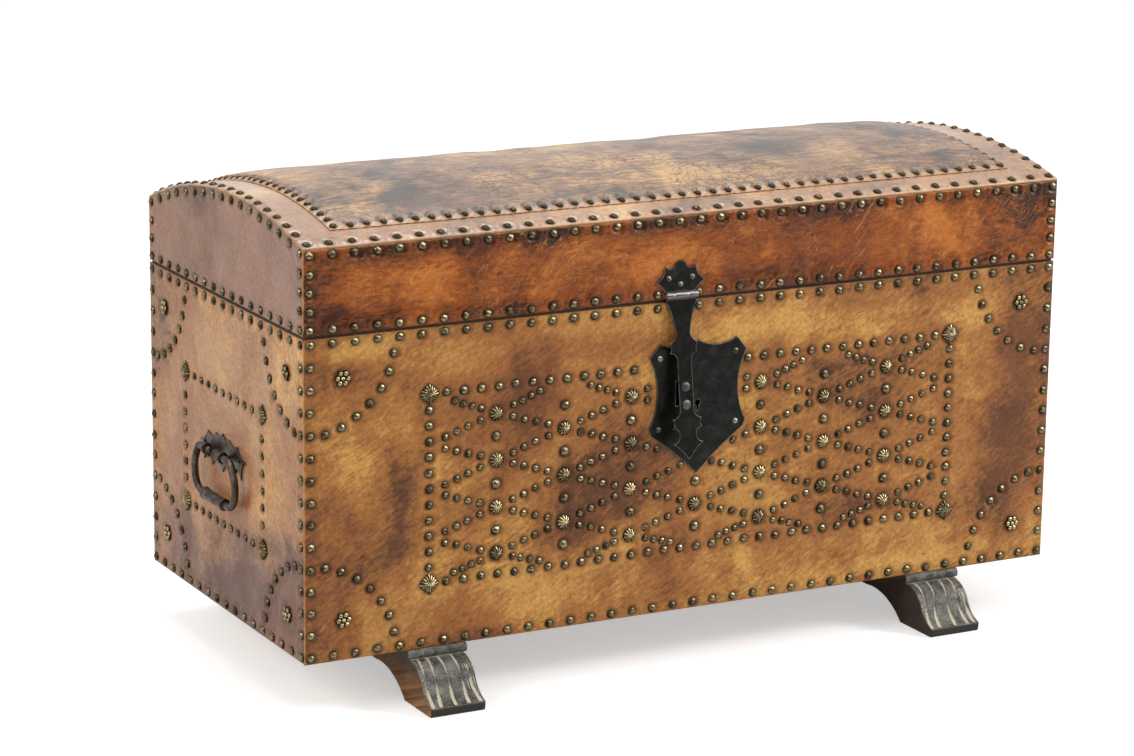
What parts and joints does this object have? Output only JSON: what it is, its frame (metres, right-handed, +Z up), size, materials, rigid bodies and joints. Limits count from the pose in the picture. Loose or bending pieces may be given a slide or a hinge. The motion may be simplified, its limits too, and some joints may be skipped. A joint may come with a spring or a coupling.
{
  "type": "dome-topped leather chest",
  "caption": "Dome-topped pine chest covered in nailed leather, with a padded lid, an iron hasp and lock, swinging bail handles and carved runner feet.",
  "frame": {"origin": "on the floor under the middle of the case", "axes": "+X to the right of someone who faces the chest, +Y to the back, +Z up"},
  "size_m": [1.0378, 0.571, 0.5779],
  "materials": {
    "pine": "planed and unfinished",
    "carved_wood": "carved and dark stained, worn on the ridges",
    "case_leather": "tanned hide, waxed and mottled",
    "border_leather": "tanned hide, polished by use",
    "pad_leather": "dark hide, cracked and rubbed",
    "tow": "loose tow stuffing",
    "aged_brass": "aged, bright on the crowns",
    "black_iron": "blacked, satin",
    "worn_steel": "bare, worn"
  },
  "bodies": {
    "chest": {"front_board": "pine", "back_board": "pine", "left_end_board": "pine", "right_end_board": "pine", "bottom_board": "pine", "front_leather": "case_leather", "back_leather": "case_leather", "left_leather": "case_leather", "right_leather": "case_leather", "left_runner_foot": "carved_wood", "right_runner_foot": "carved_wood", "foot_screws": "black_iron", "hinge_base_leaves": "black_iron", "hinge_pins": "worn_steel", "hinge_base_nails": "black_iron", "lock_plate": "black_iron", "lock_plate_nails": "worn_steel", "lock_case": "black_iron", "handle_plates": "black_iron", "handle_eyes": "black_iron", "handle_nails": "black_iron", "front_edge_studs": "aged_brass", "back_edge_studs": "aged_brass", "end_edge_studs": "aged_brass", "corner_arc_studs": "aged_brass", "corner_flowers": "aged_brass", "lattice_studs": "aged_brass", "lattice_border_studs": "aged_brass", "lattice_domes": "aged_brass", "lattice_rosettes": "aged_brass", "corner_diamonds": "aged_brass", "end_frame_studs": "aged_brass"},
    "lid": {"lid_front_rail": "pine", "lid_back_rail": "pine", "lid_left_end": "pine", "lid_right_end": "pine", "lid_staves": "pine", "lid_front_leather": "case_leather", "lid_back_leather": "case_leather", "lid_left_leather": "case_leather", "lid_right_leather": "case_leather", "lid_top_leather": "border_leather", "lid_pad_leather": "pad_leather", "lid_pad_stuffing": "tow", "hinge_lid_leaves": "black_iron", "hinge_lid_nails": "black_iron", "hasp_leaf": "black_iron", "hasp_leaf_nails": "worn_steel", "hasp_pin": "worn_steel", "lid_side_studs": "aged_brass", "lid_top_studs": "aged_brass", "lid_pad_studs": "aged_brass"},
    "hasp": {"hasp_strap": "black_iron", "hasp_staple": "worn_steel"},
    "lock_bolt": {"lock_bolt": "worn_steel"},
    "left_bail": {"left_bail": "black_iron"},
    "right_bail": {"right_bail": "black_iron"}
  },
  "joints": [
    {"name": "lid_hinge", "type": "hinge", "parent": "chest", "child": "lid", "pos_m": [0, 0.232, 0.4398], "axis": [-1, 0, 0], "range_deg": [0, 100]},
    {"name": "hasp_hinge", "type": "hinge", "parent": "lid", "child": "hasp", "pos_m": [-0.026, -0.2321, 0.4461], "axis": [-1, 0, 0], "range_deg": [-8, 165]},
    {"name": "left_bail_swing", "type": "hinge", "parent": "chest", "child": "left_bail", "pos_m": [-0.5115, 0.003, 0.256], "axis": [0, 1, 0], "range_deg": [-3, 175]},
    {"name": "right_bail_swing", "type": "hinge", "parent": "chest", "child": "right_bail", "pos_m": [0.5115, 0.003, 0.256], "axis": [0, -1, 0], "range_deg": [-3, 175]},
    {"name": "bolt_slide", "type": "slide", "parent": "chest", "child": "lock_bolt", "axis": [-1, 0, 0], "range_m": [0, 0.012]}
  ]
}
